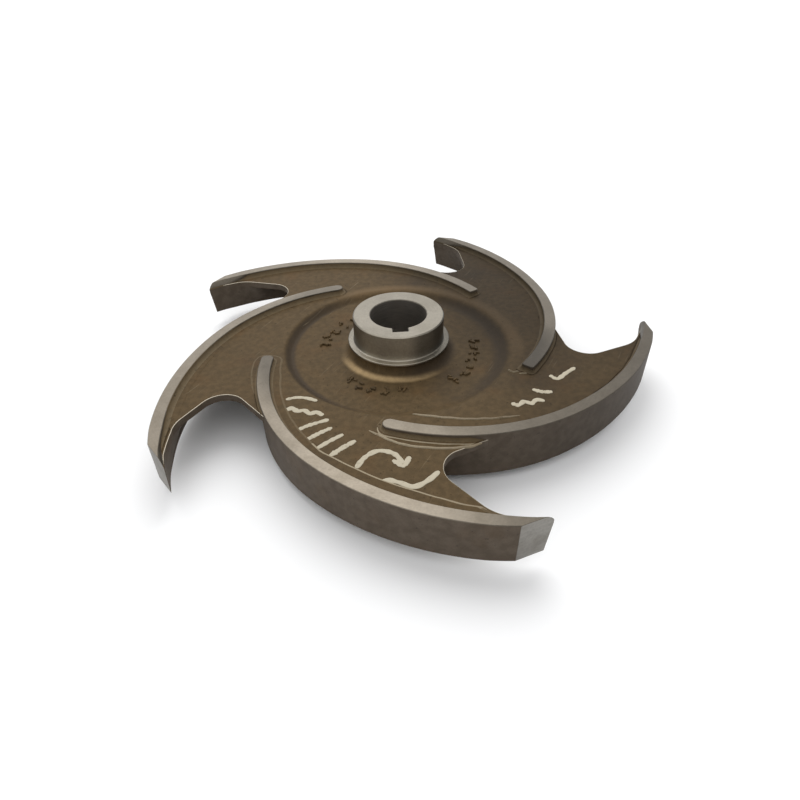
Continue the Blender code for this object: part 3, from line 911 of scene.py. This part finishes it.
# %% Small language for finishes
class Value:
    """A number that varies over the surface, with Python's operators."""

    def __init__(self, finish, socket):
        self.finish, self.socket = finish, socket

    def maths(self, operation, *others):
        sockets = dict(enumerate((self,) + others))
        return self.finish.node("ShaderNodeMath", {"operation": operation}, sockets)

    def reflected(self, operation, other):
        return self.finish.node("ShaderNodeMath", {"operation": operation}, {0: other, 1: self})

    def __add__(self, other):
        return self.maths("ADD", other)

    def __sub__(self, other):
        return self.maths("SUBTRACT", other)

    def __mul__(self, other):
        return self.maths("MULTIPLY", other)

    def __rsub__(self, other):
        return self.reflected("SUBTRACT", other)

    __radd__, __rmul__ = __add__, __mul__


class Finish:
    """One material, with its nodes made by calls."""

    def __init__(self, name, metallic, specular=0.5):
        self.material = bpy.data.materials.new(name)
        self.material.use_nodes = True
        self.tree = self.material.node_tree
        self.shader = self.tree.nodes["Principled BSDF"]
        self.shader.inputs["Metallic"].default_value = metallic
        self.shader.inputs["Specular IOR Level"].default_value = specular
        place = self.node("ShaderNodeTexCoord", output="Object")
        self.place = self.node("ShaderNodeVectorMath", {"operation": "SCALE"}, {0: place, "Scale": 1.0 / MM})
        self.x, self.y, self.z = (self.node("ShaderNodeSeparateXYZ", {}, {0: self.place}, i) for i in range(3))
        self.radius = (self.x * self.x + self.y * self.y).maths("SQRT")
        self.angle = self.y.maths("ARCTAN2", self.x)

    def node(self, kind, settings=None, sockets=None, output=0):
        made = self.tree.nodes.new(kind)
        for name, value in (settings or {}).items():
            setattr(made, name, value)
        for key, value in (sockets or {}).items():
            if isinstance(value, Value):
                self.tree.links.new(value.socket, made.inputs[key])
            else:
                made.inputs[key].default_value = value
        return Value(self, made.outputs[output])

    def vector(self, x, y, z):
        return self.node("ShaderNodeCombineXYZ", {}, {0: x, 1: y, 2: z})

    def noise(self, size, detail=3.0, seed=0.0, where=None):
        """Noise from 0 to 1 with patches of about a size in mm."""
        moved = self.node("ShaderNodeVectorMath", {"operation": "ADD"},
                          {0: where or self.place, 1: (seed * 31.7, seed * 17.3, seed * 7.9)})
        return self.node("ShaderNodeTexNoise", {}, {"Vector": moved, "Scale": 1.0 / size, "Detail": detail})

    def mask(self, value, low, high):
        """Soft step from 0 at low to 1 at high."""
        return self.node("ShaderNodeMapRange", {"interpolation_type": "SMOOTHSTEP"},
                         {"Value": value, "From Min": low, "From Max": high})

    def band(self, value, start, full, end, gone):
        """1 between full and end, and 0 outside start and gone."""
        return self.mask(value, start, full) * (1.0 - self.mask(value, end, gone))

    def blend(self, share, first, second):
        """Colour from first to second by a share."""
        return self.node("ShaderNodeMix", {"data_type": "RGBA"}, {0: share, 6: first, 7: second}, 2)

    def shade(self, colour, amount):
        """Colour made lighter or darker by a number."""
        return self.node("ShaderNodeVectorMath", {"operation": "SCALE"}, {0: colour, "Scale": amount})

    def done(self, colour, roughness, height):
        """Joins the three patterns to the shader. The height is in mm."""
        bump = self.node("ShaderNodeBump", {}, {"Strength": 1.0, "Distance": MM, "Height": height})
        for name, value in (("Base Color", colour), ("Roughness", roughness), ("Normal", bump)):
            self.tree.links.new(value.socket, self.shader.inputs[name])
        return self.material


def tone(red, green, blue):
    """Colour from screen values of 0 to 255."""
    def linear(value):
        share = value / 255.0
        return share / 12.92 if share <= 0.04045 else ((share + 0.055) / 1.055) ** 2.4
    return (linear(red), linear(green), linear(blue), 1.0)


# %% [markdown]
# ## The foundry skin
#
# Sand-cast iron comes out with a fine grain, and a thin brown film of oil and rust settles on it.
# The film is a warmer rust-brown where the dish turns up at the back, partly a painted highlight.
# Painted light and shade are added too: a gold highlight on the hub's foot in front, shade on the
# dish's left slope, in its inner corner on the right and under the collar, and darker skin to the right.
# Three sizes of noise give the grain: cloudy patches, mottling, and pits of under a millimetre.

# %% Skin finishes
# Of these tones, the soot tone also paints shade in the dish, the ochre tone is a painted highlight, and the grime
# tone is painted shade under the collar.
OLIVE, OLIVE_DARK, SOOT_AND_SHADE = tone(86, 70, 47), tone(75, 61, 40), tone(56, 47, 37)
RUST, GOLD_HIGHLIGHT, RING = tone(94, 68, 39), tone(178, 152, 112), tone(116, 95, 68)
RUBBED, WORN_METAL, BRIGHT, COLLAR_SHADE = tone(134, 122, 100), tone(158, 146, 124), tone(226, 216, 196), tone(40, 33, 26)
WALL_LIGHT, WALL_DARK, WALL_RUST = tone(86, 76, 65), tone(75, 65, 54), tone(80, 65, 48)


def grain(finish, seed, depth):
    """Grain of cast metal: its height in mm, and how dark its pits are."""
    coarse, fine = finish.noise(3.4, 4.0, seed), finish.noise(0.9, 3.0, seed + 1.0)
    pits = finish.mask(finish.noise(2.2, 3.0, seed + 2.0), 0.66, 0.74)
    return coarse * (0.5 * depth) + fine * (0.35 * depth) - pits * (0.6 * depth), pits, fine


def painted_shade_to_right(finish, amount, more_behind):
    """Painted shade for light that falls off to the right: darkening from the axis to the right, which changes
    towards the back.
    """
    behind = finish.mask(finish.y, -50.0, 20.0) * more_behind + 1.0
    return 1.0 - finish.mask(finish.x + finish.y * 0.25, 5.0, 80.0) * behind * amount


def skin_finish(name, seed, wear_and_painted_light=0.0, metal=RUBBED):
    """Brown skin of the web and the dish, worn down to brighter metal by a share; on the fillets that lightening is
    painted light.
    """
    finish = Finish(name, 0.1, 0.1)
    height, pits, fine = grain(finish, seed, 0.16)
    clouds, mottle = finish.noise(45.0, 3.0, seed + 3.0), finish.noise(4.0, 5.0, seed + 4.0)
    colour = finish.blend(finish.mask(mottle, 0.3, 0.7), OLIVE_DARK, OLIVE)
    colour = finish.blend(finish.mask(clouds, 0.5, 0.8) * 0.5, colour, SOOT_AND_SHADE)
    rust = finish.mask(finish.noise(20.0, 4.0, seed + 5.0), 0.5, 0.8)
    colour = finish.blend(rust * 0.35, colour, RUST)
    to_left, to_back = finish.mask(finish.x * -1.0, 15.0, 60.0), finish.mask(finish.y + finish.x * 0.7, 15.0, 60.0)
    # Painted shade on the dish's slope at the left.
    slope = finish.band(finish.radius, 71.0, 74.0, 77.0, 80.0)
    colour = finish.blend(slope * to_left * 0.8, colour, SOOT_AND_SHADE)
    # Painted shade in the dish's inner corner on the right.
    corner = finish.band(finish.radius, 62.0, 70.0, 73.0, 77.0)
    colour = finish.blend(corner * finish.mask(finish.x, 20.0, 60.0) * 0.7, colour, SOOT_AND_SHADE)
    # A lighter rust-brown band where the dish turns up at the back: partly rust, partly a painted highlight.
    ring = finish.band(finish.radius, 75.0, 79.0, 81.5, 89.0)
    colour = finish.blend(ring * to_back * 0.45, colour, RING)
    # Painted highlight: a gold arc on the hub's foot fillet, mostly in front of the collar.
    foot = finish.band(finish.radius, 35.0, 37.6, 38.4, 42.5)
    to_front = finish.mask(finish.y + finish.x * 0.35, -16.0, -38.0)
    colour = finish.blend(foot * (0.04 + to_front * (0.5 + mottle * 0.7)), colour, GOLD_HIGHLIGHT)
    # Painted shade under the collar, on the right and towards the front.
    collar_shade = finish.band(finish.radius, 28.0, 31.0, 36.0, 42.0) * finish.mask(finish.x * 0.8 - finish.y, -5.0, 30.0)
    colour = finish.blend(collar_shade * finish.mask(finish.x, -12.0, 14.0) * 0.7, colour, COLLAR_SHADE)
    along, across = finish.x * 0.55 + finish.y * 0.84, finish.x * 0.84 - finish.y * 0.55
    scuffs = finish.mask(finish.noise(1.0, 2.0, seed + 8.0, finish.vector(along * 0.035, across * 0.8, 0.0)), 0.62, 0.78)
    colour = finish.blend(scuffs * finish.mask(finish.noise(30.0, 2.0, seed + 9.0), 0.45, 0.65) * 0.4, colour, RUBBED)
    # Painted shade: the skin is made darker to the right.
    colour = finish.shade(colour, painted_shade_to_right(finish, 0.29, 0.9))
    if wear_and_painted_light:
        wear_and_light_mask = finish.mask(finish.noise(5.0, 3.0, seed + 7.0), 0.1, 0.4) * (1.0 - finish.mask(finish.x, -20.0, 60.0) * 0.5)
        colour = finish.blend(wear_and_light_mask * wear_and_painted_light, colour, metal)
    colour = finish.shade(colour, 0.78 + fine * 0.44 - pits * 0.4)
    return finish.done(colour, 0.56 + fine * 0.14, height)


def wall_finish(name):
    """Greyer, smoother skin of the vanes' sides."""
    finish = Finish(name, 0.1, 0.16)
    height, pits, fine = grain(finish, 11.0, 0.12)
    colour = finish.blend(finish.mask(finish.noise(6.0, 5.0, 12.0), 0.3, 0.7), WALL_DARK, WALL_LIGHT)
    colour = finish.blend(finish.mask(finish.noise(18.0, 4.0, 13.0), 0.5, 0.75) * 0.35, colour, WALL_RUST)
    # Grain, pits, and painted shade that makes the walls darker to the right.
    colour = finish.shade(colour, (0.82 + fine * 0.36 - pits * 0.4) * painted_shade_to_right(finish, 0.36, -0.6))
    return finish.done(colour, 0.52 + fine * 0.12, height)


# %% [markdown]
# ## The machined faces
#
# The rib tops, the rim and the hub are bare metal. A lathe leaves fine grooves that run round the
# axis, so the groove pattern is noise that changes fast along the radius or the height and hardly
# at all along the angle. Handling adds dull spots and a fine dust.

# %% Machined finishes
BARE, BARE_DULL, STAIN = tone(122, 114, 102), tone(114, 106, 94), tone(92, 83, 70)
TIP_BARE, TIP_DULL = tone(134, 131, 125), tone(112, 108, 101)
HUB_BARE, HUB_DULL, BORE_DARK = tone(116, 111, 101), tone(108, 103, 93), tone(165, 158, 150)


def ground_finish(name, bare, dull, roughness, across, painted_light):
    """Machined metal. The pattern runs fast along the across value, and a last factor paints light and shade on it by
    scaling its colour.
    """
    finish = Finish(name, 0.9)
    where = finish.vector(across(finish) * 3.0, finish.angle * 1.5, 0.0)
    grooves = finish.noise(1.0, 3.0, 21.0, where)
    spots, dust = finish.noise(5.0, 4.0, 22.0), finish.noise(1.3, 3.0, 23.0)
    colour = finish.blend(finish.mask(finish.noise(14.0, 4.0, 24.0), 0.35, 0.7), bare, dull)
    colour = finish.blend(finish.mask(spots, 0.6, 0.8) * 0.3, colour, STAIN)
    colour = finish.shade(colour, (0.6 + grooves * 0.3 + dust * 0.5) * painted_light(finish))
    return finish.done(colour, roughness + spots * 0.06 + dust * 0.08, grooves * 0.012 + dust * 0.008)


def bore_finish(name):
    """Reamed and oiled bore, dark inside."""
    finish = Finish(name, 0.8)
    where = finish.vector(finish.z * 2.0, finish.angle * 2.0, 0.0)
    grooves = finish.noise(1.0, 3.0, 31.0, where)
    colour = finish.blend(grooves, BORE_DARK, tone(104, 99, 92))
    return finish.done(colour, 0.32 + grooves * 0.1, grooves * 0.01)


def paint_finish(name):
    """Chalky marker paint, thinner in places."""
    finish = Finish(name, 0.0)
    thin, chalk = finish.noise(2.4, 3.0, 41.0), finish.noise(0.7, 3.0, 42.0)
    colour = finish.blend(finish.mask(thin, 0.55, 0.75) * 0.5, tone(172, 163, 142), tone(134, 123, 101))
    return finish.done(finish.shade(colour, 0.9 + chalk * 0.2), 0.6 + chalk * 0.2, chalk * 0.05)


def rib_painted_shade(finish):
    """Painted shade on the ribs' machined tops, where the reflection of the light falls off to the right and at the
    far left; they are also darker at their inner ends.
    """
    right = finish.mask(finish.x, -10.0, 60.0) * (0.6 - finish.mask(finish.y, -20.0, 30.0) * 0.14)
    inner = (finish.mask(finish.radius, 112.0, 92.0) * (0.5 - finish.mask(finish.y, -70.0, -95.0) * 0.3)
             * (1.0 - finish.mask(finish.x + finish.y, 100.0, 130.0)))
    return (1.05 - right - finish.mask(finish.x, -45.0, -90.0) * 0.25) * (1.0 - inner)


def hub_painted_light(finish):
    """Painted light and shade on the hub's turned side for its reflections: brightest a little left of the middle,
    darker to the right and at the far left.
    """
    return (2.5 - finish.mask(finish.x, 2.0, 15.0) * 1.3 - finish.mask(finish.x, 15.0, 29.0) * 0.7
            - finish.mask(finish.x, -21.0, -31.0) * 1.6)


FINISHES = [
    skin_finish("cast_skin", 1.0),
    wall_finish("cast_wall"),
    skin_finish("worn_edge", 1.0, 0.8, WORN_METAL),
    ground_finish("machined_rib", BARE, BARE_DULL, 0.36, lambda f: f.radius, rib_painted_shade),
    ground_finish("turned_hub", HUB_BARE, HUB_DULL, 0.3, lambda f: f.z, hub_painted_light),
    ground_finish("faced_end", HUB_BARE, HUB_DULL, 0.34, lambda f: f.radius, lambda f: 1.0),
    bore_finish("reamed_bore"),
    skin_finish("ground_edge", 1.0, 0.95, BRIGHT),
    # The fillets are lightened a quarter of the way to worn metal: painted light that offsets the shade in the crease
    # beside each rib.
    skin_finish("fillet_skin_painted_light", 1.0, 0.25),
    ground_finish("ground_tip", TIP_BARE, TIP_DULL, 0.42, lambda f: f.z * 0.3, lambda f: 1.0),
]
MARK_FINISH, PAINT_FINISH = skin_finish("cast_mark", 6.0), paint_finish("marker_paint")
print("finishes:", len(FINISHES) + 2)

# %% [markdown]
# ## Put the casting together
#
# The web is one piece and each vane is another. They share their finishes, and the patterns run
# through from one to the next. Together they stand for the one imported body.

# %% Build every piece
hub_and_web = build_hub_and_web(FINISHES)
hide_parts("impeller")
for k in range(VANES):
    build_vane(k, FINISHES)
build_mould_lines([FINISHES[WORN]])
build_cast_marks([MARK_FINISH])
build_paint([PAINT_FINISH])

# %% [markdown]
# ## Floor and light
#
# The picture has a white ground and soft light from behind and to the left. A sun with a very
# wide disc stands for a large softbox: it lights the floor evenly, casts soft shadows, and shows
# in the machined faces only where they look that way. The pale world fills the shadows. The
# floor glows a little far from the casting, as the sweep of a studio's paper does.

# %% Floor, sun and world
FLOOR_SIZE, FLOOR_TONE = 9.0, 0.88
GLOW_FROM, GLOW_TO, GLOW = 0.5, 2.2, 0.4
SUN_TOWARD, SUN_HEIGHT, SUN_WIDTH, SUN_STRENGTH = math.radians(-3.0), math.radians(52.0), math.radians(54.0), 1.6
WORLD_TONE, WORLD_STRENGTH = (0.985, 0.99, 1.0, 1.0), 0.92


def make_floor():
    bm = bmesh.new()
    bmesh.ops.create_grid(bm, x_segments=1, y_segments=1, size=FLOOR_SIZE / 2.0)
    mesh = bpy.data.meshes.new("floor")
    bm.to_mesh(mesh)
    bm.free()
    paper = Finish("floor", 0.0)
    paper.shader.inputs["Base Color"].default_value = (FLOOR_TONE, FLOOR_TONE, FLOOR_TONE, 1.0)
    paper.shader.inputs["Roughness"].default_value = 0.9
    paper.shader.inputs["Emission Strength"].default_value = 1.0
    glow = paper.mask(paper.radius * MM, GLOW_FROM, GLOW_TO) * GLOW
    paper.tree.links.new(glow.socket, paper.shader.inputs["Emission Color"])
    mesh.materials.append(paper.material)
    floor = bpy.data.objects.new("floor", mesh)
    bpy.context.scene.collection.objects.link(floor)


make_floor()
light = bpy.data.lights.new("sun", "SUN")
light.energy, light.angle = SUN_STRENGTH, SUN_WIDTH
sun = bpy.data.objects.new("sun", light)
toward = Vector((math.sin(SUN_TOWARD), math.cos(SUN_TOWARD), math.tan(SUN_HEIGHT)))
sun.matrix_world = toward.to_track_quat("Z", "Y").to_matrix().to_4x4()
bpy.context.scene.collection.objects.link(sun)
world = bpy.data.worlds.new("studio")
world.use_nodes = True
world.node_tree.nodes["Background"].inputs["Color"].default_value = WORLD_TONE
world.node_tree.nodes["Background"].inputs["Strength"].default_value = WORLD_STRENGTH
bpy.context.scene.world = world
bpy.context.scene.view_settings.view_transform = "Standard"
